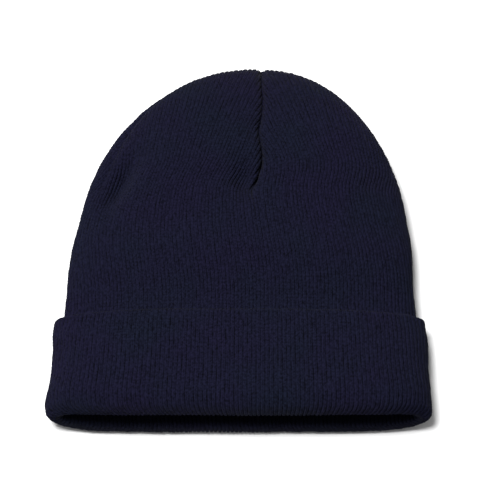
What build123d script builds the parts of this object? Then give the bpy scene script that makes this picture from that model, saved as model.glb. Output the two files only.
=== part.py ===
"""Cuffed knit beanie, lying flat: two layers of 1x1 rib, a turned-up cuff and four crown darts.

Millimetres. +Z is up from the table, +Y runs from the open mouth to the tip of the crown, and
+X is the wearer's left when the front of the hat lies uppermost. The origin is on the table,
under the middle of the hat.
"""

from build123d import *
from math import cos, radians, sin
import os

os.makedirs("parts", exist_ok=True)

# Overall sizes of the hat as it lies
hat_length = 226.0
body_width = 197.0
body_rise = 34.0
cuff_depth = 62.0
cuff_width_top = 209.0
cuff_width_mouth = 213.0
cuff_rise = 31.0
settle_length = 30.0
side_fold_radius = 12.0

# Tip of the crown
tip_rise = 12.0
tip_shift = 8.0
tip_sweep = 85.5
drift_power = 1.6
rise_power = 3.0
rise_root = 0.6
fold_share_of_rise = 0.4
fold_share_of_half_width = 0.8
crown_stations = 9

# Knitted plies and the room between them
ply = 1.5
ply_gap = 0.3
slide_gap = 0.5
mouth_fold = 3.2
hem_fold = 2.6
flat_trim = 0.6
overrun = 20.0

# Dart seams: lines of linking thread where the crown's gores meet
seam_width = 2.2
seam_gap = 0.15
front_seam_x = 12.6
front_seam_length = 88.0
side_seam_length = 74.0
side_seam_z = 6.5
seam_parting_z = 6.0
tip_clear = 5.0

# Lining: it stops short of the outer tip, and one thread bundle ties the two tips
lining_slack = 7.0
tack_radius = 1.1
tack_gap = 0.2

# Care label, sewn by its inner edge to the lining that lies underneath
label_width = 34.0
label_length = 24.0
label_thickness = 0.6
label_from_mouth = 36.0
label_gap = 0.4
stitch_length = 2.6
stitch_width = 0.5
stitch_height = 0.4
stitch_inset = 1.6
stitch_count = 9

# Worked out from the sizes above
mouth_y = -hat_length / 2
tip_y = hat_length / 2
cuff_stack = 2 * ply + ply_gap + slide_gap
cuff_top_y = mouth_y + cuff_depth
crown_y = cuff_top_y + settle_length
crown_length = (tip_y - crown_y) / sin(radians(tip_sweep))
wall_half = cuff_width_top / 2 - cuff_stack
wall_roof = cuff_rise - cuff_stack
wall_fold_radius = side_fold_radius - cuff_stack
lining_inset = ply + ply_gap
inside_inset = 2 * ply + ply_gap


def cross_section(y, half_width, floor, roof, corner, middle=0.0):
    """One slice across the hat: flat underneath, a round fold each side, a low dome above."""
    right = middle + half_width
    left = middle - half_width
    shoulder = floor + corner
    with BuildSketch(Plane.XZ.offset(-y)) as slice_across:
        with BuildLine():
            Line((left + corner, floor), (right - corner, floor))
            CenterArc((right - corner, shoulder), corner, 270, 90)
            EllipticalCenterArc((middle, shoulder), half_width, roof - shoulder, 0, arc_size=90)
            EllipticalCenterArc((middle, shoulder), half_width, roof - shoulder, 90, arc_size=90)
            CenterArc((left + corner, shoulder), corner, 180, 90)
        make_face()
    return slice_across.sketch


def wall_slice(y, inset):
    """The wall inside the cuff, where the back of the cuff lifts it off the table."""
    corner = wall_fold_radius - inset
    return cross_section(y, wall_half - inset, cuff_stack + inset, wall_roof - inset, corner)


def crown_slice(angle, inset, short, drop):
    """The free body, whose plan is half an ellipse that closes at the tip."""
    along = sin(radians(angle))
    y = crown_y + (crown_length - inset - short) * along
    half_width = (body_width / 2 - inset) * cos(radians(angle))
    roof = tip_rise + (body_rise - tip_rise) * (1 - along**rise_power) ** rise_root - inset
    floor = inset - drop
    by_rise = fold_share_of_rise * (roof + inset)
    by_width = fold_share_of_half_width * (half_width + inset)
    corner = min(side_fold_radius, by_rise, by_width) - inset
    return cross_section(y, half_width, floor, roof, corner, tip_shift * along**drift_power)


def hull(inset, before=0.0, short=0.0, drop=0.0):
    """The closed outer form of the hat, moved inwards by inset."""
    start = mouth_y + mouth_fold + slide_gap - before
    with BuildPart() as form:
        extrude(wall_slice(cuff_top_y, inset), amount=cuff_top_y - start)
        loft([wall_slice(cuff_top_y, inset), crown_slice(0, inset, short, drop)], ruled=True)
        steps = crown_stations - 1
        loft([crown_slice(tip_sweep * k / steps, inset, short, drop) for k in range(crown_stations)])
    return form.part


def cuff_form(inset, low, high, drop=0.0):
    """The closed outer form of the turned-up cuff between two heights, moved inwards by inset."""
    slices = []
    for y in (low, high):
        share = (y - mouth_y) / cuff_depth
        half_width = (cuff_width_mouth + (cuff_width_top - cuff_width_mouth) * share) / 2
        slices.append(
            cross_section(y, half_width - inset, inset - drop, cuff_rise - inset, side_fold_radius - inset)
        )
    with BuildPart() as form:
        loft(slices, ruled=True)
    return form.part


def seam_boxes(room, back_off=0.0):
    """Slabs that hold the four dart seams, each wider than its seam by room on every side."""
    thick = seam_width + 2 * room
    end_y = tip_y - tip_clear - back_off + room
    front_length = front_seam_length - tip_clear - back_off + 2 * room
    side_length = side_seam_length - tip_clear - back_off + 2 * room
    tall = body_rise + overrun
    wide = body_width
    front_y = end_y - front_length / 2
    side_y = end_y - side_length / 2
    apart = seam_width
    return {
        "front": ((front_seam_x, front_y, seam_parting_z + tall / 2 + apart), (thick, front_length, tall)),
        "back": ((front_seam_x, front_y, seam_parting_z - tall / 2 - apart), (thick, front_length, tall)),
        "left": ((front_seam_x - wide / 2 - apart, side_y, side_seam_z), (wide, side_length, thick)),
        "right": ((front_seam_x + wide / 2 + apart, side_y, side_seam_z), (wide, side_length, thick)),
    }


# Outer layer of the wall and crown, with its darts left open for their seams
with BuildPart() as outer_layer:
    add(hull(0.0, drop=flat_trim))
    split(bisect_by=Plane.XY, keep=Keep.TOP)
    add(hull(ply, before=overrun), mode=Mode.SUBTRACT)

with BuildPart() as outer_shell:
    add(outer_layer.part)
    for middle, size in seam_boxes(seam_gap).values():
        with Locations(middle):
            Box(*size, mode=Mode.SUBTRACT)
outer_shell.part.label = "outer_shell"
export_step(outer_shell.part, "parts/outer_shell.step")

# Linking thread of the four outer darts
for side, (middle, size) in seam_boxes(0.0).items():
    with BuildPart() as outer_seam:
        add(outer_layer.part)
        with Locations(middle):
            Box(*size, mode=Mode.INTERSECT)
    outer_seam.part.label = f"outer_seam_{side}"
    export_step(outer_seam.part, f"parts/outer_seam_{side}.step")

# Lining: the same tube doubled inside, a little shorter at the crown
with BuildPart() as lining_layer:
    add(hull(lining_inset, short=lining_slack))
    add(hull(inside_inset, before=overrun, short=lining_slack), mode=Mode.SUBTRACT)

with BuildPart() as lining:
    add(lining_layer.part)
    for middle, size in seam_boxes(seam_gap, lining_slack).values():
        with Locations(middle):
            Box(*size, mode=Mode.SUBTRACT)
lining.part.label = "lining"
export_step(lining.part, "parts/lining.step")

# Linking thread of the four lining darts
for side, (middle, size) in seam_boxes(0.0, lining_slack).items():
    with BuildPart() as lining_seam:
        add(lining_layer.part)
        with Locations(middle):
            Box(*size, mode=Mode.INTERSECT)
    lining_seam.part.label = f"lining_seam_{side}"
    export_step(lining_seam.part, f"parts/lining_seam_{side}.step")

# Thread bundle that ties the tip of the lining to the tip of the outer layer
lining_tip_y = crown_y + (crown_length - lining_inset - lining_slack) * sin(radians(tip_sweep))
outer_inside_y = crown_y + (crown_length - ply) * sin(radians(tip_sweep))
tack_length = outer_inside_y - lining_tip_y - 2 * tack_gap
with BuildPart() as crown_tack:
    with BuildSketch(Plane.XZ.offset(-(lining_tip_y + tack_gap))):
        with Locations((tip_shift, tip_rise / 2)):
            Circle(tack_radius)
    extrude(amount=-tack_length)
crown_tack.part.label = "crown_tack"
export_step(crown_tack.part, "parts/crown_tack.step")

# Face of the cuff: the visible ply, rolled over at the free edge and turned in at the mouth
wall_start = mouth_y + mouth_fold
with BuildPart() as cuff_face:
    add(cuff_form(0.0, mouth_y, cuff_top_y, drop=flat_trim))
    split(bisect_by=Plane.XY, keep=Keep.TOP)
    add(cuff_form(ply, wall_start, cuff_top_y - hem_fold), mode=Mode.SUBTRACT)
    add(cuff_form(2 * ply + ply_gap, wall_start, cuff_top_y + overrun), mode=Mode.SUBTRACT)
    with BuildSketch(Plane.XZ.offset(-(mouth_y - overrun))):
        add(wall_slice(mouth_y - overrun, inside_inset))
    extrude(amount=-(overrun + mouth_fold + overrun), mode=Mode.SUBTRACT)
cuff_face.part.label = "cuff_face"
export_step(cuff_face.part, "parts/cuff_face.step")

# Backing of the cuff: the hidden ply between the face and the wall
backing_low = wall_start + ply_gap
backing_high = cuff_top_y - hem_fold - ply_gap
with BuildPart() as cuff_backing:
    add(cuff_form(ply + ply_gap, backing_low, backing_high))
    add(cuff_form(2 * ply + ply_gap, backing_low, backing_high), mode=Mode.SUBTRACT)
cuff_backing.part.label = "cuff_backing"
export_step(cuff_backing.part, "parts/cuff_backing.step")

# Woven care label, lying on the lining with its free end towards the mouth
label_floor = cuff_stack + inside_inset + label_gap
label_seam_y = mouth_y + label_from_mouth + label_length
with BuildPart() as care_label:
    with BuildSketch(Plane.XY.offset(label_floor)):
        with Locations((0, label_seam_y)):
            Rectangle(label_width, label_length, align=(Align.CENTER, Align.MAX))
    extrude(amount=label_thickness)
care_label.part.label = "care_label"
export_step(care_label.part, "parts/care_label.step")

# Row of stitches that holds the label's inner edge
stitch_pitch = (label_width - stitch_length) / (stitch_count - 1)
with BuildPart() as label_stitches:
    with BuildSketch(Plane.XY.offset(label_floor + label_thickness)):
        with Locations((0, label_seam_y - stitch_inset)):
            with GridLocations(stitch_pitch, 1, stitch_count, 1):
                SlotOverall(stitch_length, stitch_width)
    extrude(amount=stitch_height)
label_stitches.part.label = "label_stitches"
export_step(label_stitches.part, "parts/label_stitches.step")
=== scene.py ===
import math

import bmesh
import bpy
import numpy as np
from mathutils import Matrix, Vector


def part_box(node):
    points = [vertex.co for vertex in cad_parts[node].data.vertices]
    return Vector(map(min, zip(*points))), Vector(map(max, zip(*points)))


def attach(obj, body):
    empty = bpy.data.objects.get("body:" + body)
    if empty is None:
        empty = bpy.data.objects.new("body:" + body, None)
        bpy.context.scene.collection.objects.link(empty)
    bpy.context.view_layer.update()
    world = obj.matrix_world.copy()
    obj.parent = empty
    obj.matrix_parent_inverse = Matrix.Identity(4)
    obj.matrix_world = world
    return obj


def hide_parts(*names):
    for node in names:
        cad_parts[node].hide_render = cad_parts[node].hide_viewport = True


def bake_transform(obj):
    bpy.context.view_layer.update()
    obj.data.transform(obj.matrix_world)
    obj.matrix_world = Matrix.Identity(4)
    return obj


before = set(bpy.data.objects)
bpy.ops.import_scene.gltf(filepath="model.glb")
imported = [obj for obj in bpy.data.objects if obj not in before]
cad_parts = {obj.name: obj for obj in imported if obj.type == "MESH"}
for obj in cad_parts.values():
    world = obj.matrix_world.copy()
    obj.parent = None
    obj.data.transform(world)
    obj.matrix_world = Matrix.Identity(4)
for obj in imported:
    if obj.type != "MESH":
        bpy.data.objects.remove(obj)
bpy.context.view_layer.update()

mm = 0.001


# ---------------------------------------------------------------------------------------------
# Outer layer: the outer ply of a doubled tube of fine one-by-one rib, knitted in navy acrylic.
# Four darts take in its crown and make four gores: the wales run up each gore and end on a seam.
# The hat lies on its back, so every layer is a slice of one smooth form, set in or out by its ply.
# ---------------------------------------------------------------------------------------------
cuff_low, cuff_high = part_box("cuff_face")
mouth_y = cuff_low.y
cuff_top_y = cuff_high.y
tip_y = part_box("outer_shell")[1].y

# Its outline and its heights as it lies
stack = 3.8 * mm                        # two cuff plies lie between the wall and the table
settle = 30 * mm                        # above the cuff the wall comes down onto the table
crown_y = cuff_top_y + settle
wall_half = 99.4 * mm                   # half widths inside the cuff, and above it
body_half = 98.5 * mm
flare = 2.0 * mm                        # the cuff opens this much more on each side at the mouth
dome_power = 0.475                      # a little blunter than an ellipse, whose power is 0.5
tip_x = 9.2 * mm
tip_hook = 3.4 * mm                     # the last part of the tip's lean comes late
wall_crest = cuff_high.z - stack
body_crest = 33.5 * mm
slump_start_y = -10 * mm                # from here the front slopes down to the tip
slump_power = 3.4
mouth_roll = 8.0 * mm                   # the front rolls down towards the mouth fold
roll_length = 14 * mm
roll_depth = 0.92                       # how far round its quarter turn the roll goes
fold_height = 12.0 * mm                 # the side folds' height over the table, and the tip's
tip_height = 8.5 * mm
heel_power = 40                         # the back lies on the table until just before the tip
side_slack = 1.45                       # the cuff stands off the wall at the side folds
top_power = 2.6                         # squareness of the front, more at the mouth, and of the back
mouth_square = 4.0
base_power = 12.0
thin_half = 30 * mm                     # a layer's distance dies away where the hat is thinner
thin_height = 6 * mm                    # than this

# Where the sides draw in or stand out: how far, where along the hat, and over what length
left_waist = (1.7 * mm, 8 * mm, 22 * mm)
left_mouth_swell = (1.7 * mm, mouth_y + 9 * mm, 9 * mm)
left_hem_swell = (1.0 * mm, cuff_top_y - 8 * mm, 8 * mm)
right_hem_swell = (1.0 * mm, cuff_top_y - 16 * mm, 10 * mm)
right_waist = (1.0 * mm, 12 * mm, 14 * mm)

# How the mouth and the front seam are pulled out of line
mouth_bow = 3.4 * mm                    # the mouth's ends lie further in than its middle
mouth_reach = 0.6 * mm
front_set_back = 3.2 * mm               # the front edge lies further in than the back edge
corner_set_back = 0.6 * mm
pull_length = 36 * mm
seam_wavers = [(0.6 * mm, 84 * mm, 8 * mm), (-1.9 * mm, 62 * mm, 8 * mm), (-1.3 * mm, 22 * mm, 6 * mm)]
waver_width = 7 * mm

# Where the front sinks: how deep, the place's x and y, and how far it reaches in x and y
dimple = (6.0 * mm, 3.5 * mm, 31 * mm, 8 * mm, 12 * mm)
left_hollow = (9.0 * mm, -69 * mm, 31 * mm, 7 * mm, 16 * mm)
right_slack = (2.0 * mm, 80 * mm, 36 * mm, 10 * mm, 16 * mm)
hollow_slant = 0.4                      # the hollow leans right going up, about this height
hollow_turn_y = 30 * mm

# How a dart's seam pulls the fabric down: depth and width, and for the tuck where and how far along
middle_crease = (2.2 * mm, 2.6 * mm)
side_crease = (1.2 * mm, 3.0 * mm)
front_tuck = (5.2 * mm, 32 * mm, 14 * mm)
upper_tuck_depth = 1.0 * mm
tuck_width = 1.3 * mm
seam_edge = 1.8 * mm                    # the ribs flatten out this near to a seam

# The knit: wales in each gore, the darts, and how fine the mesh is
outer_wales = 48
course_pitch = 1.8 * mm
open_wale = 2.45 * mm                   # a wale's width when the rib is spread a little
gore_share = 0.86                       # a gore covers this much of its width times its length
half_section = 360                      # points over the front, and as many under the back
dart_end_y = 18 * mm
side_dart_end_y = 26 * mm
side_inset = 13 * mm                    # the left dart lies this far in from the side fold
dart_lean = math.tan(math.radians(26))  # the wales beside a dart lean towards it
lean_ease = 34 * mm
mouth_wale_x = 14 * mm                  # the middle wale of the front is this far right at the mouth
wale_leans = [(-6.0 * mm, -40 * mm, 22 * mm), (4.8 * mm, 22 * mm, 44 * mm)]
shell_out = -0.7 * mm
shell_columns = 6                       # mesh columns in a wale, and rows in a course
shell_rows = 3


def ramp(x, start, end):
    """A smooth step from 0 at start to 1 at end."""
    x = np.clip((x - start) / (end - start), 0.0, 1.0)
    return x * x * (3 - 2 * x)


def bell(x, middle, width):
    """1 at the middle, falling smoothly to nothing on both sides."""
    return np.exp(-(((x - middle) / width) ** 2))


def swell(y, place):
    size, middle, length = place
    return size * bell(y, middle, length)


def front_wale_x(y):
    """The middle wale of the front leans across it, because the hat lies a little turned."""
    return mouth_wale_x + sum(over * ramp(y, start, end) for over, start, end in wale_leans)


def back_wale_x(y):
    return (mouth_wale_x + tip_x) * ramp(y, dart_end_y, tip_y) - mouth_wale_x


def form(y):
    """Left, right, crest, underside and side-fold height of the hat at each y."""
    t = np.clip((y - crown_y) / (tip_y - crown_y), 0.0, 1.0)
    wall = ramp(y, crown_y, cuff_top_y)
    half = body_half * (1 - t * t) ** dome_power + (wall_half - body_half) * wall
    half = half + flare * ramp(y, cuff_top_y, mouth_y)
    middle = (tip_x - tip_hook) * t + tip_hook * t**6
    left = middle - half + swell(y, left_waist) - swell(y, left_mouth_swell) - swell(y, left_hem_swell)
    right = middle + half + swell(y, right_hem_swell) - swell(y, right_waist)
    high = np.clip((y - slump_start_y) / (tip_y - slump_start_y), 0.0, 1.0)
    side = fold_height - (fold_height - tip_height) * high**2
    crest = side + (body_crest - side) * np.sqrt(1 - high**slump_power)
    crest = crest + (wall_crest - body_crest) * ramp(y, crown_y + 12 * mm, cuff_top_y + 4 * mm)
    rolled = np.clip((mouth_y + roll_length - y) / roll_length, 0.0, 1.0)
    crest = crest - mouth_roll * (1 - np.sqrt(1 - roll_depth * rolled**2))
    under = stack * wall + tip_height * (1 - np.sqrt(1 - high**heel_power))
    return left, right, crest, under, side


def drawn(x, y, z):
    """Where the fabric is pulled to: the mouth's edge bows, its front lies back a little, and the
    front seam wavers."""
    left, right = form(y)[:2]
    q = np.clip(np.abs(x - (left + right) / 2) / ((right - left) / 2), 0, 1)
    front = ramp(z, 6 * mm, 24 * mm)
    shift = mouth_bow * q**6 - mouth_reach + (front_set_back + corner_set_back * q**4) * front
    waver = sum(swell(y, place) for place in seam_wavers)
    near_seam = front * bell(x, front_wale_x(y), waver_width)
    return x + waver * near_seam, y + shift * ramp(y, mouth_y + pull_length, mouth_y)


def slices(y, out):
    """Closed slices of the hat at each y, moved outwards by out: points, normals and arc length.
    They start at the right side fold and go over the front."""
    left, right, crest, under, side = (v[:, None] for v in form(y))
    out = out[:, None]
    angle = np.linspace(0, 2 * math.pi, 2 * half_section + 1)[None, :]
    half = (right - left) / 2
    half = half + out * np.where(out > 0, side_slack, 1) * np.minimum(1, half / thin_half)
    over, below = crest - side, side - under
    over = over + out * np.minimum(1, over / thin_height)
    below = below + out * np.minimum(1, below / thin_height)
    across = np.cos(angle)
    x = (left + right) / 2 + half * across
    square = top_power + mouth_square * ramp(y[:, None], cuff_top_y + 10 * mm, mouth_y + 10 * mm)
    top = over * np.sqrt(np.clip(1 - np.abs(across) ** square, 0, None))
    base = below * np.sqrt(np.clip(1 - np.abs(across) ** base_power, 0, None))
    z = side + np.where(angle <= math.pi, top, -base)
    steps = np.hypot(np.diff(x), np.diff(z))
    arc = np.concatenate([np.zeros((len(y), 1)), np.cumsum(steps, axis=1)], axis=1)
    slope_x, slope_z = np.gradient(x, axis=1), np.gradient(z, axis=1)
    size = np.maximum(np.hypot(slope_x, slope_z), 1e-9)
    return x, z, slope_z / size, -slope_x / size, arc


def seam_lines(y, x, arc):
    """Arc positions of the front, left, back and right seam lines on each slice."""
    n = half_section
    around, left_fold = arc[:, -1], arc[:, n]
    rows = range(len(y))
    front_x, back_x = front_wale_x(y), back_wale_x(y)
    front = np.array([np.interp(-front_x[j], -x[j, : n + 1], arc[j, : n + 1]) for j in rows])
    below = np.array([np.interp(back_x[j], x[j, n:], arc[j, n:]) for j in rows])
    back_near = ramp(y, dart_end_y, dart_end_y + 40 * mm)
    left_near = ramp(y, -10 * mm, 40 * mm)
    right_near = ramp(y, side_dart_end_y, tip_y)
    up_dart = np.clip((y - side_dart_end_y) / (tip_y - side_dart_end_y), 0, 1)
    inset = side_inset * (1 - up_dart**2)
    return {
        "front": front,
        "left": (front + around / 4) * (1 - left_near) + (left_fold - inset) * left_near,
        "back": (front + around / 2) * (1 - back_near) + below * back_near,
        "right": (front - around / 4) * (1 - right_near)}


def stations(path, course_rows):
    """Even steps along a path of (y, out) points, measured over the crest: y, out, course number."""
    y, out = (np.array(v) for v in zip(*path))
    fine = np.linspace(0, len(y) - 1, 40 * len(y))
    y, out = np.interp(fine, np.arange(len(y)), y), np.interp(fine, np.arange(len(out)), out)
    height = form(y)[2] + out
    arc = np.concatenate([[0], np.cumsum(np.hypot(np.diff(y), np.diff(height)))])
    even = np.linspace(0, arc[-1], int(arc[-1] / course_pitch) * course_rows + 1)
    return np.interp(even, arc, y), np.interp(even, arc, out), even / course_pitch


def spread(wales, path, share=1.0):
    """Flat size and area of a layer when it is opened out, with its rib spread a little."""
    width, length = wales * open_wale, stations(path, 1)[2][-1] * course_pitch
    return (width, float(length)), share * width * float(length)


def dent(x, y, place):
    depth, middle_x, middle_y, reach_x, reach_y = place
    return depth * bell(x, middle_x, reach_x) * bell(y, middle_y, reach_y)


def dents(x, y):
    """How far the front sinks: the dimple is at its dart's end, and the rest is slack fabric."""
    slanted_x = x - hollow_slant * (y - hollow_turn_y)
    return dent(x, y, dimple) + dent(slanted_x, y, left_hollow) + dent(x, y, right_slack)


def crease(y, distance, pull):
    """The valley that a dart seam pulls down on both of its sides."""
    depth, width = pull
    return depth * ramp(y, dart_end_y + 4 * mm, dart_end_y + 20 * mm) * bell(distance, 0, width)


def tuck(y, distance):
    """The narrow slot where the front folds in on itself at the end of its seam."""
    deep = swell(y, front_tuck) + upper_tuck_depth * ramp(y, 40 * mm, 54 * mm)
    return deep * bell(distance, 0, tuck_width)


def lay_on(cut, y, at, sink):
    """Points at arc positions on each slice, sunk by the dents and creases, and where they face."""
    x, z, out_x, out_z, arc = cut
    points, facing = np.zeros(at.shape + (3,)), np.zeros(at.shape + (3,))
    for j in range(len(y)):
        px, pz, mx, mz = (np.interp(at[j], arc[j], v[j], period=arc[j, -1])
                          for v in (x, z, out_x, out_z))
        down = dents(px, y[j]) * np.clip(1.6 * mz, 0, 1)
        px, pz = px - mx * sink[j], pz - mz * sink[j] - down
        pulled_x, pulled_y = drawn(px, np.full(len(px), y[j]), pz)
        points[j] = np.stack([pulled_x, pulled_y, pz], axis=1)
        facing[j] = np.stack([mx, np.zeros(len(px)), mz], axis=1)
    return points, facing


def gore_grid(face, side, y, out, columns, short):
    """A gore's points on every course and wale, with its two seam lines as the last two columns, how
    far round each point is from the first seam, the gore's width, and its way round. A short layer
    reaches the form's tip that much early."""
    stretch = (tip_y - crown_y) / (tip_y - crown_y - short)
    y_form = np.where(y > crown_y, crown_y + (y - crown_y) * stretch, y)
    y_form = np.minimum(y_form, tip_y - 0.0005 * mm)
    cut = slices(y_form, out)
    lines = seam_lines(y_form, cut[0], cut[-1])
    start, end = lines[face], lines[side]
    if face == "back" and side == "right":
        end = end + cut[-1][:, -1]
    way = 1 if end[0] > start[0] else -1
    width = np.abs(end - start)
    full = np.searchsorted(y_form, side_dart_end_y)
    cut_width = np.where(np.arange(len(y)) < full, width, width[min(full, len(y) - 1)])
    share = np.linspace(0, 1, columns)[None, :]
    lean = ramp(y_form, dart_end_y, dart_end_y + lean_ease)
    drift = np.concatenate([[0], np.cumsum((lean[1:] + lean[:-1]) / 2 * np.diff(y_form))])
    across = share * cut_width[:, None] - dart_lean * (1 - share) * drift[:, None]
    held = np.clip(across, 0, width[:, None])
    held = np.concatenate([held, np.zeros((len(y), 1)), width[:, None]], axis=1)
    rise = y_form[:, None]
    sink = crease(rise, held, middle_crease) + crease(rise, width[:, None] - held, side_crease)
    if face == "front":
        sink = sink + tuck(rise, held)
    sink = sink * np.minimum(1, width[:, None] / (20 * mm))
    points, facing = lay_on(cut, y, start[:, None] + way * held, sink)
    return points, facing, across, width, y_form, way


def faces_between(chains):
    """Faces between each chain of points and the next, fanned where one goes on further."""
    faces = []
    for a, b in zip(chains[:-1], chains[1:]):
        n = min(len(a), len(b))
        faces.extend(np.stack([a[: n - 1], b[: n - 1], b[1:n], a[1:n]], axis=1).tolist())
        faces.extend([a[i], b[n - 1], a[i + 1]] for i in range(n - 1, len(a) - 1))
        faces.extend([a[n - 1], b[i], b[i + 1]] for i in range(n - 1, len(b) - 1))
    return faces


def gore_mesh(face, side, path, wales, wale_columns, course_rows, short=0.0, inwards=False):
    """One gore's points, faces, knit values and normals, each wale cut off where it meets a seam."""
    y, out, course = stations(path, course_rows)
    columns = wales * wale_columns + 1
    points, facing, across, width, y_form, way = gore_grid(face, side, y, out, columns, short)
    body = points[:, :columns]
    normal = np.cross(np.gradient(body, axis=0), np.gradient(body, axis=1) * way)
    size = np.linalg.norm(normal, axis=2, keepdims=True)
    normal = np.where(size > 1e-14, normal / np.maximum(size, 1e-14), facing[:, :columns])
    normal = normal * np.where(np.sum(normal * facing[:, :columns], axis=2, keepdims=True) < 0, -1, 1)
    if out[0] > shell_out:              # a layer that starts on the mouth fold
        normal[0] = (0, -1, 0)
    if inwards:
        normal[1:] *= -1
    sewn = ramp(y_form, dart_end_y, dart_end_y + 14 * mm)[:, None]
    seam_room = np.minimum(across, width[:, None] - across)
    edge = 1 - sewn * (1 - ramp(seam_room, 0, seam_edge))
    wale = np.arange(columns) / wale_columns
    rows = [np.stack([np.full(len(y), w), course, edge[:, c]], axis=1) for c, w in enumerate(wale)]
    inside = (across >= -1e-9) & (across <= width[:, None] + 1e-9)
    verts, values, normals, chains, total = [], [], [], [], 0
    for c in range(columns):
        outside = np.flatnonzero(~inside[:, c])
        stop = outside[0] if len(outside) else len(y)
        verts.append(body[:stop, c])
        values.append(rows[c][:stop])
        normals.append(normal[:stop, c])
        count = stop
        if stop < len(y):
            at_start = across[stop, c] < 0
            before, after = across[stop - 1, c], across[stop, c]
            if not at_start:
                before, after = width[stop - 1] - before, width[stop] - after
            t = float(np.clip(before / max(before - after, 1e-12), 0.02, 1))
            line = points[:, -2 if at_start else -1]
            verts.append((line[stop - 1] * (1 - t) + line[stop] * t)[None])
            values.append(np.array([[wale[c], course[stop - 1] * (1 - t) + course[stop] * t, 0.0]]))
            normals.append(normal[stop - 1, c][None])
            count += 1
        chains.append(np.arange(total, total + count))
        total += count
    faces = faces_between(chains)
    if (way > 0) != inwards:
        faces = [corners[::-1] for corners in faces]
    return np.concatenate(verts), faces, np.concatenate(values), np.concatenate(normals)


def knit_object(name, gores):
    """One mesh object of a few gores. Its points carry their wale, course, edge and outward values."""
    verts, values, normals = (np.concatenate([gore[i] for gore in gores]) for i in (0, 2, 3))
    firsts = np.cumsum([0] + [len(gore[0]) for gore in gores])
    faces = [[first + i for i in corners] for gore, first in zip(gores, firsts) for corners in gore[1]]
    mesh = bpy.data.meshes.new(name)
    mesh.from_pydata(verts, [], faces)
    for i, key in enumerate(("wale", "course", "edge")):
        attribute = mesh.attributes.new(key, "FLOAT", "POINT")
        attribute.data.foreach_set("value", values[:, i].astype(np.float32))
    outward = mesh.attributes.new("outward", "FLOAT_VECTOR", "POINT")
    outward.data.foreach_set("vector", normals.astype(np.float32).ravel())
    joined = bmesh.new()
    joined.from_mesh(mesh)
    bmesh.ops.remove_doubles(joined, verts=joined.verts, dist=0.004 * mm)
    joined.to_mesh(mesh)
    joined.free()
    mesh.shade_smooth()
    made = bpy.data.objects.new(name, mesh)
    bpy.context.collection.objects.link(made)
    return made


class Wire:
    """A socket of a node tree. Arithmetic on it adds the Math nodes that work it out."""

    def __init__(self, nodes, socket):
        self.nodes, self.socket = nodes, socket

    def math(self, operation, *others, clamp=False):
        return self.nodes.math(operation, self, *others, clamp=clamp)

    def __add__(self, other):
        return self.nodes.math("ADD", self, other)

    def __radd__(self, other):
        return self.nodes.math("ADD", other, self)

    def __sub__(self, other):
        return self.nodes.math("SUBTRACT", self, other)

    def __rsub__(self, other):
        return self.nodes.math("SUBTRACT", other, self)

    def __mul__(self, other):
        return self.nodes.math("MULTIPLY", self, other)

    def __rmul__(self, other):
        return self.nodes.math("MULTIPLY", other, self)

    def __pow__(self, other):
        return self.nodes.math("POWER", self, other)

    def __rpow__(self, other):
        return self.nodes.math("POWER", other, self)


class Nodes:
    """Adds nodes to one tree: their settings first, then the values or links of their sockets."""

    def __init__(self, tree):
        self.tree = tree

    def add(self, kind, settings=None, inputs=None, output=0):
        made = self.tree.nodes.new(kind)
        for key, value in (settings or {}).items():
            setattr(made, key, value)
        for key, value in (inputs or {}).items():
            if isinstance(value, Wire):
                self.tree.links.new(value.socket, made.inputs[key])
            else:
                made.inputs[key].default_value = value
        return Wire(self, made.outputs[output]) if made.outputs else made

    def math(self, operation, *values, clamp=False):
        settings = {"operation": operation, "use_clamp": clamp}
        return self.add("ShaderNodeMath", settings, dict(enumerate(values)))

    def vector_math(self, operation, *values):
        return self.add("ShaderNodeVectorMath", {"operation": operation}, dict(enumerate(values)))

    def scaled(self, vector, by):
        return self.add("ShaderNodeVectorMath", {"operation": "SCALE"}, {0: vector, "Scale": by})

    def noise(self, place, scale, detail, output=0):
        sizes = {"Vector": place, "Scale": scale, "Detail": detail}
        return self.add("ShaderNodeTexNoise", None, sizes, output)

    def mixed(self, share, first, second):
        """A colour between two others."""
        return self.add("ShaderNodeMix", {"data_type": "RGBA"}, {0: share, 6: first, 7: second}, 2)


def new_geometry_tree(name, sizes):
    """A geometry tree with a mesh in and out, an input for each named size, and a Material input."""
    tree = bpy.data.node_groups.new(name, "GeometryNodeTree")
    tree.interface.new_socket("Mesh", in_out="INPUT", socket_type="NodeSocketGeometry")
    for size in sizes:
        tree.interface.new_socket(size, in_out="INPUT", socket_type="NodeSocketFloat")
    tree.interface.new_socket("Material", in_out="INPUT", socket_type="NodeSocketMaterial")
    tree.interface.new_socket("Mesh", in_out="OUTPUT", socket_type="NodeSocketGeometry")
    nodes = Nodes(tree)
    given = tree.nodes.new("NodeGroupInput")
    wires = {socket.name: Wire(nodes, socket) for socket in given.outputs if socket.name}
    return tree, nodes, wires


def finish_tree(nodes, geometry, material):
    """Ends a geometry tree with real geometry and its material."""
    real = nodes.add("GeometryNodeRealizeInstances", None, {0: geometry})
    painted = nodes.add("GeometryNodeSetMaterial", None, {"Geometry": real, "Material": material})
    given = nodes.tree.nodes.new("NodeGroupOutput")
    nodes.tree.links.new(painted.socket, given.inputs[0])


def bake_tree(made, tree, values):
    """Runs a geometry tree on an object, and keeps the result as its plain mesh."""
    modifier = made.modifiers.new(tree.name, "NODES")
    modifier.node_group = tree
    for item in tree.interface.items_tree:
        if item.in_out == "INPUT" and item.name in values:
            modifier[item.identifier] = values[item.name]
    shown = made.evaluated_get(bpy.context.evaluated_depsgraph_get())
    mesh = bpy.data.meshes.new_from_object(shown)
    made.modifiers.remove(modifier)
    made.data = mesh
    mesh.name = made.name
    return made


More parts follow.
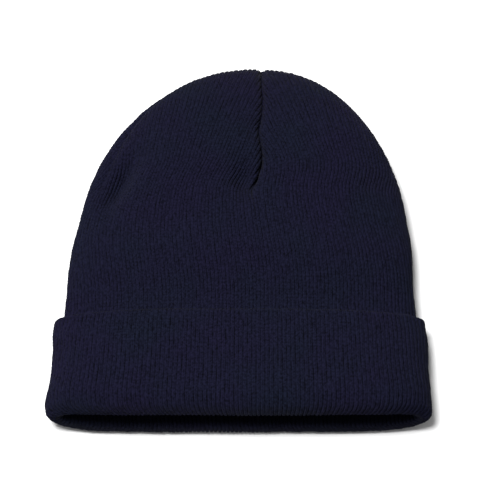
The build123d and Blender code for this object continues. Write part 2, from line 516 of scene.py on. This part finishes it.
def even_border(made):
    """Turns the open edges' normals to the layer's own, so that pieces that meet there look as one."""
    mesh = made.data
    normals, outward = np.empty(3 * len(mesh.vertices)), np.empty(3 * len(mesh.vertices))
    mesh.vertices.foreach_get("normal", normals)
    mesh.attributes["outward"].data.foreach_get("vector", outward)
    of_loop, ends = np.empty(len(mesh.loops), int), np.empty(2 * len(mesh.edges), int)
    mesh.loops.foreach_get("edge_index", of_loop)
    mesh.edges.foreach_get("vertices", ends)
    border = np.unique(ends.reshape(-1, 2)[np.bincount(of_loop, minlength=len(mesh.edges)) == 1])
    normals, outward = normals.reshape(-1, 3), outward.reshape(-1, 3)
    normals[border] = outward[border]
    mesh.normals_split_custom_set_from_vertices(normals.tolist())


def knit_relief_tree():
    """Raises one rib a wale, with a V of two leaning legs a course, over a smooth layer."""
    sizes = ("Rib height", "Stitch height", "Unevenness", "Wander")
    tree, nodes, given = new_geometry_tree("knit_relief", sizes)

    def attribute(key, data_type="FLOAT"):
        return nodes.add("GeometryNodeInputNamedAttribute", {"data_type": data_type}, {"Name": key})

    wale, course, edge = attribute("wale"), attribute("course"), attribute("edge")
    outward = attribute("outward", "FLOAT_VECTOR")
    position = nodes.add("GeometryNodeInputPosition")

    # Across a wale: a round rib with a thin groove between its stitches' two rows of legs.
    off_middle = (wale.math("FRACT") - 0.5).math("ABSOLUTE") * 2
    groove = 0.16 * (1 - off_middle * 3).math("MAXIMUM", 0)
    rib = (1 - off_middle**2.6) ** 0.6 - groove
    stitch = ((course - off_middle) * math.tau).math("COSINE") * (1 - off_middle**3)

    # Each wale is drawn tighter here and looser there, and the whole layer lies a little uneven.
    along_wale = nodes.add("ShaderNodeCombineXYZ", None, {0: wale, 1: course * 0.3})
    pull = nodes.noise(along_wale, 0.9, 2.0)
    height = (rib * given["Rib height"] * (0.3 + 1.4 * pull) + stitch * given["Stitch height"]) * edge
    height = height + (nodes.noise(position, 30.0, 2.0) - 0.5) * given["Unevenness"]
    lift = nodes.scaled(outward, height)
    wander = nodes.vector_math("SUBTRACT", nodes.noise(position, 90.0, 2.0, 1), (0.5, 0.5, 0.5))
    shift = nodes.scaled(wander, given["Wander"] * edge)
    place = nodes.vector_math("ADD", position, nodes.vector_math("ADD", lift, shift))

    # Nothing goes down through the table.
    on_table = nodes.vector_math("MAXIMUM", place, (-1, -1, 0))
    placed = {"Geometry": given["Mesh"], "Position": on_table}
    moved = nodes.add("GeometryNodeSetPosition", None, placed)
    smooth = nodes.add("GeometryNodeSetShadeSmooth", None, {"Geometry": moved, "Shade Smooth": True})
    finish_tree(nodes, smooth, given["Material"])
    return tree


def new_material(name):
    material = bpy.data.materials.new(name)
    material.use_nodes = True
    material.node_tree.nodes.clear()
    return material, Nodes(material.node_tree)


def knit_yarn(name, colour, deep):
    """Matte acrylic yarn: painted shade darkens it between the wales, and it is flecked and faintly
    uneven, with a little nap.
    """
    material, nodes = new_material(name)
    wale = nodes.add("ShaderNodeAttribute", {"attribute_name": "wale"}, None, 2)
    course = nodes.add("ShaderNodeAttribute", {"attribute_name": "course"}, None, 2)
    place = nodes.add("ShaderNodeTexCoord", None, None, 3)
    fleck, fibre = nodes.noise(place, 800.0, 3.0), nodes.noise(place, 3800.0, 2.0)

    # Painted shade gathers unevenly between the wales, and a little along their middles.
    off_middle = (wale.math("FRACT") - 0.5).math("ABSOLUTE") * 2
    along_wale = nodes.add("ShaderNodeCombineXYZ", None, {0: wale, 1: course * 0.3})
    gap = (nodes.noise(along_wale, 0.8, 3.0) * 2.8 - 0.85).math("MAXIMUM", 0)
    groove = (1 - off_middle * 4).math("MAXIMUM", 0) * 0.35
    painted_shade = off_middle**4.0 * gap + groove
    # depth mixes in the dark colour, deep: painted shade between the wales, and the yarn's own dark
    # flecks.
    depth = (painted_shade + (0.55 - fleck) * 2.4).math("ADD", 0.1, clamp=True)

    # The dye leans to green in wide, soft patches.
    greener = (colour[0] * 0.74, colour[1] * 1.22, colour[2] * 0.86, 1)
    share = (nodes.noise(place, 26.0, 3.0) * 3 - 1.1).math("MULTIPLY", 0.7, clamp=True)
    shaded = nodes.mixed(depth, nodes.mixed(share, (*colour, 1), greener), (*deep, 1))

    # Each leg of a stitch is a round of twisted fibres.
    leg = ((course - off_middle) * math.tau).math("COSINE") * (1 - off_middle**3)
    twist = ((course * 3 - off_middle * 2 + fleck * 1.5) * math.tau).math("COSINE")
    grain = leg * 0.25 + twist * 0.12 + fibre * 0.7 + fleck * 0.6
    bump = nodes.add("ShaderNodeBump", None, {"Strength": 0.55, "Distance": 0.35 * mm, "Height": grain})
    surface = nodes.add("ShaderNodeBsdfPrincipled", None, {
        "Base Color": shaded, "Normal": bump, "Roughness": 0.9, "Specular IOR Level": 0.05,
        "Sheen Weight": 0.015, "Sheen Roughness": 0.5})
    nodes.add("ShaderNodeOutputMaterial", None, {"Surface": surface})
    return material


relief = knit_relief_tree()
rib_relief = {"Rib height": 0.95 * mm, "Stitch height": 0.17 * mm, "Unevenness": 1.0 * mm,
              "Wander": 0.5 * mm}
navy = (0.0066, 0.0059, 0.0193)
# The dark end of the yarn's colour: painted shade between the wales, and the yarn's own dark flecks.
shade_and_fleck_navy = (0.0006, 0.0006, 0.0027)
navy_yarn = knit_yarn("navy_yarn", navy, shade_and_fleck_navy)
shell_path = [(mouth_y + 5 * mm, shell_out), (tip_y, shell_out)]
for face in ("front", "back"):
    for side in ("left", "right"):
        gore = gore_mesh(face, side, shell_path, outer_wales, shell_columns, shell_rows)
        shell = knit_object(f"outer_gore_{face}_{side}", [gore])
        bake_tree(shell, relief, {**rib_relief, "Material": navy_yarn})
        even_border(shell)
        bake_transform(shell)
        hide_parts("outer_shell")
        flat, area = spread(outer_wales, shell_path, gore_share)


# ---------------------------------------------------------------------------------------------
# Outer crown seams: each of the four darts is closed by linking, a chain of the same navy yarn
# worked loop to loop. The chain sinks into the valley where the two gores' edges meet.
# ---------------------------------------------------------------------------------------------
chain_pitch = 1.9 * mm
chain_sunk = 0.45 * mm
chain_sizes = {"Length": 1.5 * chain_pitch, "Spread": 0.36 * mm, "Arch": 0.18 * mm,
               "Yarn radius": 0.26 * mm}


def seam_course(seam, y, out, short=0.0):
    """Points down the middle of a dart seam, where they face, and the way that the seam runs."""
    face = "back" if seam == "back" else "front"
    side = "right" if seam == "right" else "left"
    points, facing = gore_grid(face, side, y, np.full(len(y), out), 2, short)[:2]
    line = -2 if seam in ("front", "back") else -1
    points, facing = points[:, line], facing[:, line]
    along = np.gradient(points, axis=0)
    return points, facing, along / np.linalg.norm(along, axis=1, keepdims=True)


def stitch_tree(name, sides):
    """Sets an arched leg of yarn for each of the sides on every point, lying along the seam."""
    tree, nodes, given = new_geometry_tree(name, ("Length", "Spread", "Arch", "Yarn radius"))

    def corner(along, across, up):
        parts = {0: given["Length"] * along, 1: given["Spread"] * across, 2: given["Arch"] * up}
        return nodes.add("ShaderNodeCombineXYZ", None, parts)

    yarn_size = {"Resolution": 6, "Radius": given["Yarn radius"]}
    round_yarn = nodes.add("GeometryNodeCurvePrimitiveCircle", None, yarn_size)
    legs = nodes.tree.nodes.new("GeometryNodeJoinGeometry")
    for side in sides:                  # up out of one loop, over to the side, and into the next
        bent = nodes.add("GeometryNodeCurveQuadraticBezier", None, {
            "Resolution": 6, "Start": corner(-0.5, 0, -1), "Middle": corner(0.1, 2 * side, 2.4),
            "End": corner(0.62, 0.7 * side, -1)})
        leg = nodes.add("GeometryNodeCurveToMesh", None, {
            "Curve": bent, "Profile Curve": round_yarn, "Fill Caps": True})
        nodes.tree.links.new(leg.socket, legs.inputs[0])
    along, outward = (nodes.add("GeometryNodeInputNamedAttribute", {"data_type": "FLOAT_VECTOR"},
                                {"Name": key}) for key in ("along", "outward"))
    turned = nodes.add("FunctionNodeAxesToRotation", {"primary_axis": "X", "secondary_axis": "Z"}, {
        0: along, 1: outward})
    placed = nodes.add("GeometryNodeInstanceOnPoints", None, {
        "Points": given["Mesh"], "Instance": Wire(nodes, legs.outputs[0]), "Rotation": turned})
    smooth = nodes.add("GeometryNodeSetShadeSmooth", None, {0: placed, "Shade Smooth": True})
    finish_tree(nodes, smooth, given["Material"])
    return tree


def stitch_object(name, points, along, outward, tree, values):
    """A row of stitches, one on each point."""
    mesh = bpy.data.meshes.new(name)
    mesh.from_pydata(points, [], [])
    for key, vectors in (("along", along), ("outward", outward)):
        attribute = mesh.attributes.new(key, "FLOAT_VECTOR", "POINT")
        attribute.data.foreach_set("vector", np.asarray(vectors, np.float32).ravel())
    made = bpy.data.objects.new(name, mesh)
    bpy.context.collection.objects.link(made)
    return bake_tree(made, tree, values)


def thread_look(name, colour, roughness, sheen):
    """Twisted thread: fine fibres, a little darker and lighter along its length."""
    material, nodes = new_material(name)
    place = nodes.add("ShaderNodeTexCoord", None, None, 3)
    fibre = nodes.noise(place, 2600.0, 3.0)
    dark = (*(0.45 * c for c in colour), 1)
    shaded = nodes.mixed(nodes.noise(place, 420.0, 2.0), (*colour, 1), dark)
    bump = nodes.add("ShaderNodeBump", None, {"Strength": 0.6, "Distance": 0.2 * mm, "Height": fibre})
    surface = nodes.add("ShaderNodeBsdfPrincipled", None, {
        "Base Color": shaded, "Normal": bump, "Roughness": roughness, "Sheen Weight": sheen,
        "Specular IOR Level": 0.1})
    nodes.add("ShaderNodeOutputMaterial", None, {"Surface": surface})
    return material


def linked_chain(name, seam, out, sign, short=0.0):
    """One dart's chain, on the side of its layer that sign gives: 1 outwards, -1 inwards."""
    seam_end = dart_end_y if seam in ("front", "back") else side_dart_end_y
    seam_y = np.arange(seam_end + 4 * mm, tip_y - short - 1 * mm, chain_pitch)
    points, facing, along = seam_course(seam, seam_y, out, short)
    values = {**chain_sizes, "Material": shaded_navy_thread}
    return stitch_object(name, points, along, sign * facing, chain, values)


chain = stitch_tree("chain_stitches", (-1, 1))
# The chain's navy is the yarn's navy painted about half as bright, as shade down the seam valleys.
shaded_navy_thread = thread_look("shaded_navy_thread", (0.0036, 0.0034, 0.0100), 0.9, 0.0)
for seam in ("front", "left", "back", "right"):
    row = linked_chain(f"outer_seam_{seam}_chain", seam, shell_out - chain_sunk, 1)
    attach(row, "hat")
    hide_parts(f"outer_seam_{seam}")


# ---------------------------------------------------------------------------------------------
# Lining: the inner ply of the same doubled tube, with four darts of its own. It ends short of the
# outer tip, and starts on the mouth fold, where it runs on round the edge as the cuff's face.
# ---------------------------------------------------------------------------------------------
inner_wales = 46                        # in a gore: the inner ply is knitted a little narrower
fold_middle = 0.05 * mm                 # the mouth fold's edge, between its two layers
lining_out = -3.0 * mm
lining_short = 7 * mm
lining_columns = 6
lining_rows = 1
fold_steps = 8


def quarter_fold(to_out):
    """The path from the fold's lowest line round to the layer at to_out."""
    reach = to_out - fold_middle
    turn = np.linspace(0, math.pi / 2, fold_steps)
    return [(mouth_y + abs(reach) * (1 - math.cos(a)), fold_middle + reach * math.sin(a)) for a in turn]


# The lining's navy is the cuff face's navy painted darker, as shade inside the hat.
shaded_lining_yarn = knit_yarn("shaded_lining_yarn", (0.0056, 0.0052, 0.0150), (0.0006, 0.0006, 0.0026))
lining_path = quarter_fold(lining_out) + [(tip_y - lining_short, lining_out)]
for face in ("front", "back"):
    gores = [gore_mesh(face, side, lining_path, inner_wales, lining_columns, lining_rows,
                       lining_short, inwards=True) for side in ("left", "right")]
    lining = knit_object(f"lining_{face}", gores)
    bake_tree(lining, relief, {**rib_relief, "Material": shaded_lining_yarn})
    even_border(lining)
    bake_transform(lining)
    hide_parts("lining")
    flat, area = spread(2 * inner_wales, lining_path, gore_share)


# ---------------------------------------------------------------------------------------------
# Lining crown seams: the lining's four darts are linked with the same navy chain. It lies inside
# the crown, because the tube is linked inside out before it is doubled.
# ---------------------------------------------------------------------------------------------
for seam in ("front", "left", "back", "right"):
    row = linked_chain(f"lining_seam_{seam}_chain", seam, lining_out, -1, lining_short)
    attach(row, "hat")
    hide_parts(f"lining_seam_{seam}")


# ---------------------------------------------------------------------------------------------
# Crown tack: the linking yarn's ends, three strands twisted together by hand. They tie the
# lining's tip to the outer tip, so that the lining doesn't pull out.
# ---------------------------------------------------------------------------------------------
tack_low, tack_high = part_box("crown_tack")
tack_middle = (tack_low + tack_high) / 2
strand_radius = 0.42 * mm
strand_orbit = 0.5 * mm
tack_turns = 1.5
tack_steps = 24
tack_curve = bpy.data.curves.new("crown_tack_strands", "CURVE")
tack_curve.dimensions = "3D"
tack_curve.bevel_depth = strand_radius
tack_curve.bevel_resolution = 2
tack_curve.use_fill_caps = True
for strand in range(3):
    line = tack_curve.splines.new("NURBS")
    line.points.add(tack_steps - 1)
    for i in range(tack_steps):
        share = i / (tack_steps - 1)
        angle = math.tau * (tack_turns * share + strand / 3)
        x = tack_middle.x + strand_orbit * math.cos(angle)
        y = tack_low.y + (tack_high.y - tack_low.y) * share
        z = tack_middle.z + strand_orbit * math.sin(angle)
        line.points[i].co = (x, y, z, 1)
    line.order_u = 3
    line.use_endpoint_u = True
tack_curve.materials.append(shaded_navy_thread)
tack = bpy.data.objects.new("crown_tack_strands", tack_curve)
bpy.context.collection.objects.link(tack)
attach(tack, "hat")
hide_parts("crown_tack")


# ---------------------------------------------------------------------------------------------
# Cuff: the mouth of the doubled tube, turned up once. Its face is the lining's ply, which comes
# round the mouth fold and up the outside, and folds over at the top into a soft hem.
# ---------------------------------------------------------------------------------------------
cuff_out = stack - 0.7 * mm
hem_out = 0.6 * mm                      # the hem's fold ends this far out from the wall
hem_return = 7 * mm                     # it runs back down this far inside
hem_tuck = 0.6 * mm
cuff_columns = 6
cuff_rows = 3
hem_radius = (cuff_out - hem_out) / 2
hem_turn = np.linspace(0, math.pi, 2 * fold_steps)
hem = [(cuff_top_y - hem_radius * (1 - math.sin(a)) - hem_tuck,
        (cuff_out + hem_out) / 2 + hem_radius * math.cos(a)) for a in hem_turn]
hem.append((cuff_top_y - hem_return, hem_out))
cuff_yarn = knit_yarn("cuff_yarn", navy, shade_and_fleck_navy)
cuff_path = quarter_fold(cuff_out) + hem
for face in ("front", "back"):
    gores = [gore_mesh(face, side, cuff_path, inner_wales, cuff_columns, cuff_rows)
             for side in ("left", "right")]
    cuff = knit_object(f"cuff_face_{face}", gores)
    bake_tree(cuff, relief, {**rib_relief, "Material": cuff_yarn})
    even_border(cuff)
    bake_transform(cuff)
    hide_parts("cuff_face")
    flat = spread(2 * inner_wales, cuff_path)[0]


# ---------------------------------------------------------------------------------------------
# Cuff backing: the outer ply, turned up with the cuff between the wall and the cuff's face. It is
# pressed flat there, so its ribs are low, and it shows only deep in the hem.
# ---------------------------------------------------------------------------------------------
backing_columns = 2
backing_rows = 1
backing_path = [(mouth_y + 4 * mm, hem_out), (cuff_top_y - hem_return + 2 * mm, hem_out)]
gores = [gore_mesh(face, side, backing_path, outer_wales, backing_columns, backing_rows)
         for face in ("front", "back") for side in ("left", "right")]
backing = knit_object("cuff_backing_tube", gores)
bake_tree(backing, relief, {"Rib height": 0.3 * mm, "Stitch height": 0.0, "Unevenness": 1.0 * mm,
                            "Wander": 0.0, "Material": cuff_yarn})
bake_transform(backing)
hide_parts("cuff_backing")
flat = spread(4 * outer_wales, backing_path)[0]


# ---------------------------------------------------------------------------------------------
# Care label: a plain strip of white polyester satin ribbon, cut hot so that its edges are sealed
# and round. It lies on the back of the lining, sewn along the edge that is further in.
# ---------------------------------------------------------------------------------------------
label_low, label_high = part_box("care_label")
label_thick = 0.35 * mm
label_lift = 0.3 * mm                   # the middle of the ribbon over the box's floor
label_curl = 0.5 * mm                   # the free edge stands up this much more


def label_mesh():
    """A thin closed strip, lightly curled, with its cut edges rounded over."""
    columns, rows = 41, 29
    across = np.linspace(-1, 1, columns)[:, None] * np.ones((1, rows))
    along = np.ones((columns, 1)) * np.linspace(0, 1, rows)[None, :]
    x = (label_low.x + label_high.x) / 2 + across * (label_high.x - label_low.x) / 2
    y = label_low.y + along * (label_high.y - label_low.y)
    middle = label_low.z + label_lift + label_curl * (1 - along) ** 2 * (0.6 + 0.4 * across**2)
    rim = np.minimum(1 - np.abs(across), np.minimum(along, 1 - along) * 1.4)
    half = label_thick / 2 * np.sqrt(1 - (1 - np.clip(rim / 0.03, 0, 1)) ** 2)
    made = bmesh.new()
    top = [[made.verts.new((x[i, j], y[i, j], middle[i, j] + half[i, j])) for j in range(rows)]
           for i in range(columns)]
    base = [[made.verts.new((x[i, j], y[i, j], middle[i, j] - half[i, j])) for j in range(rows)]
            for i in range(columns)]
    for i in range(columns - 1):
        for j in range(rows - 1):
            made.faces.new((top[i][j], top[i + 1][j], top[i + 1][j + 1], top[i][j + 1]))
            made.faces.new((base[i][j + 1], base[i + 1][j + 1], base[i + 1][j], base[i][j]))
    bmesh.ops.remove_doubles(made, verts=made.verts, dist=0.01 * mm)
    mesh = bpy.data.meshes.new("care_label_ribbon")
    made.to_mesh(mesh)
    made.free()
    mesh.shade_smooth()
    return mesh


def satin_look(name, colour):
    """Woven satin: long bright warp floats in steps, and thin darker lines between the wefts."""
    material, nodes = new_material(name)
    place = nodes.add("ShaderNodeTexCoord", None, None, 3)
    warp, weft = (nodes.add("ShaderNodeSeparateXYZ", None, {0: place}, axis) for axis in (0, 1))
    floats = ((warp * 5200 + (weft * 700).math("FLOOR") * 2.4).math("SINE") + 1) * 0.5
    lines = ((weft * 4400).math("SINE") + 1) * 0.5
    uneven = nodes.noise(place, 260.0, 3.0)
    depth = (floats * 0.25 + lines * 0.15 + uneven * 0.5).math("MULTIPLY", 0.8, clamp=True)
    dark = (*(0.6 * c for c in colour), 1)
    shaded = nodes.mixed(depth, (*colour, 1), dark)
    height = floats * 0.6 + lines * 0.4
    bump = nodes.add("ShaderNodeBump", None, {"Strength": 0.3, "Distance": 0.05 * mm, "Height": height})
    surface = nodes.add("ShaderNodeBsdfPrincipled", None, {
        "Base Color": shaded, "Normal": bump, "Roughness": 0.32 + 0.2 * uneven, "Sheen Weight": 0.3,
        "Anisotropic": 0.6})
    nodes.add("ShaderNodeOutputMaterial", None, {"Surface": surface})
    return material


label = bpy.data.objects.new("care_label_ribbon", label_mesh())
label.data.materials.append(satin_look("white_satin", (0.72, 0.71, 0.69)))
bpy.context.collection.objects.link(label)
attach(label, "label")
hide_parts("care_label")


# ---------------------------------------------------------------------------------------------
# Label stitches: nine short lockstitches of white polyester thread, sewn by machine. They hold
# the label's inner edge to the lining, and it flaps about them.
# ---------------------------------------------------------------------------------------------
stitch_low, stitch_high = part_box("label_stitches")
stitch_count = 9
stitch_length = 2.6 * mm
stitch_proud = 0.08 * mm
first_x, last_x = stitch_low.x + stitch_length / 2, stitch_high.x - stitch_length / 2
stitch_x = np.linspace(first_x, last_x, stitch_count)
stitch_y = (stitch_low.y + stitch_high.y) / 2
stitch_z = label_low.z + label_lift + label_thick / 2 + stitch_proud
bar = stitch_tree("lockstitches", (0,))
label_thread = thread_look("white_thread", (0.62, 0.61, 0.58), 0.55, 0.2)
points = [(x, stitch_y, stitch_z) for x in stitch_x]
along, outward = [(1, 0, 0)] * stitch_count, [(0, 0, 1)] * stitch_count
bar_sizes = {"Length": stitch_length, "Spread": 0.0, "Arch": 0.12 * mm, "Yarn radius": 0.17 * mm}
values = {**bar_sizes, "Material": label_thread}
stitches = stitch_object("label_lockstitches", points, along, outward, bar, values)
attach(stitches, "label")
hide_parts("label_stitches")


# ---------------------------------------------------------------------------------------------
# Stage: the hat lies on a plain white table, under one wide soft lamp to the upper left of it and
# a pale room. The camera looks down at it, from a little to the mouth's side.
# ---------------------------------------------------------------------------------------------
table_reach = 3.0
lamp_place = Vector((-0.48, 0.18, 1.6))
lamp_width = 0.9
lamp_power = 52
room_light = 0.30
camera_aim = Vector((5.75 * mm, -6.5 * mm, 12 * mm))
camera_tilt = math.radians(65)
camera_distance = 1.2

white_table, nodes = new_material("white_table")
table_look = {"Base Color": (0.86, 0.86, 0.86, 1), "Roughness": 0.8}
surface = nodes.add("ShaderNodeBsdfPrincipled", None, table_look)
nodes.add("ShaderNodeOutputMaterial", None, {"Surface": surface})
table_mesh = bpy.data.meshes.new("table_top")
corners = [(x * table_reach, y * table_reach, 0) for x, y in ((-1, -1), (1, -1), (1, 1), (-1, 1))]
table_mesh.from_pydata(corners, [], [(0, 1, 2, 3)])
table_mesh.materials.append(white_table)
table = bpy.data.objects.new("table_top", table_mesh)
bpy.context.collection.objects.link(table)

lamp_light = bpy.data.lights.new("key_light", "AREA")
lamp_light.shape = "DISK"
lamp_light.size = lamp_width
lamp_light.energy = lamp_power
lamp = bpy.data.objects.new("key_light", lamp_light)
lamp.location = lamp_place
lamp.rotation_euler = (-lamp_place).to_track_quat("-Z", "Y").to_euler()
bpy.context.collection.objects.link(lamp)

world = bpy.data.worlds.new("studio")
world.use_nodes = True
background = world.node_tree.nodes["Background"]
background.inputs["Color"].default_value = (1, 1, 1, 1)
background.inputs["Strength"].default_value = room_light
bpy.context.scene.world = world
bpy.context.scene.view_settings.view_transform = "Standard"

camera_data = bpy.data.cameras.new("camera")
camera_data.lens = 150
camera_data.sensor_width = 36
camera_data.clip_end = 20
camera = bpy.data.objects.new("camera", camera_data)
toward_mouth = Vector((0, -math.cos(camera_tilt), math.sin(camera_tilt)))
camera.location = camera_aim + camera_distance * toward_mouth
camera.rotation_euler = (camera_aim - camera.location).to_track_quat("-Z", "Y").to_euler()
bpy.context.collection.objects.link(camera)
bpy.context.scene.camera = camera
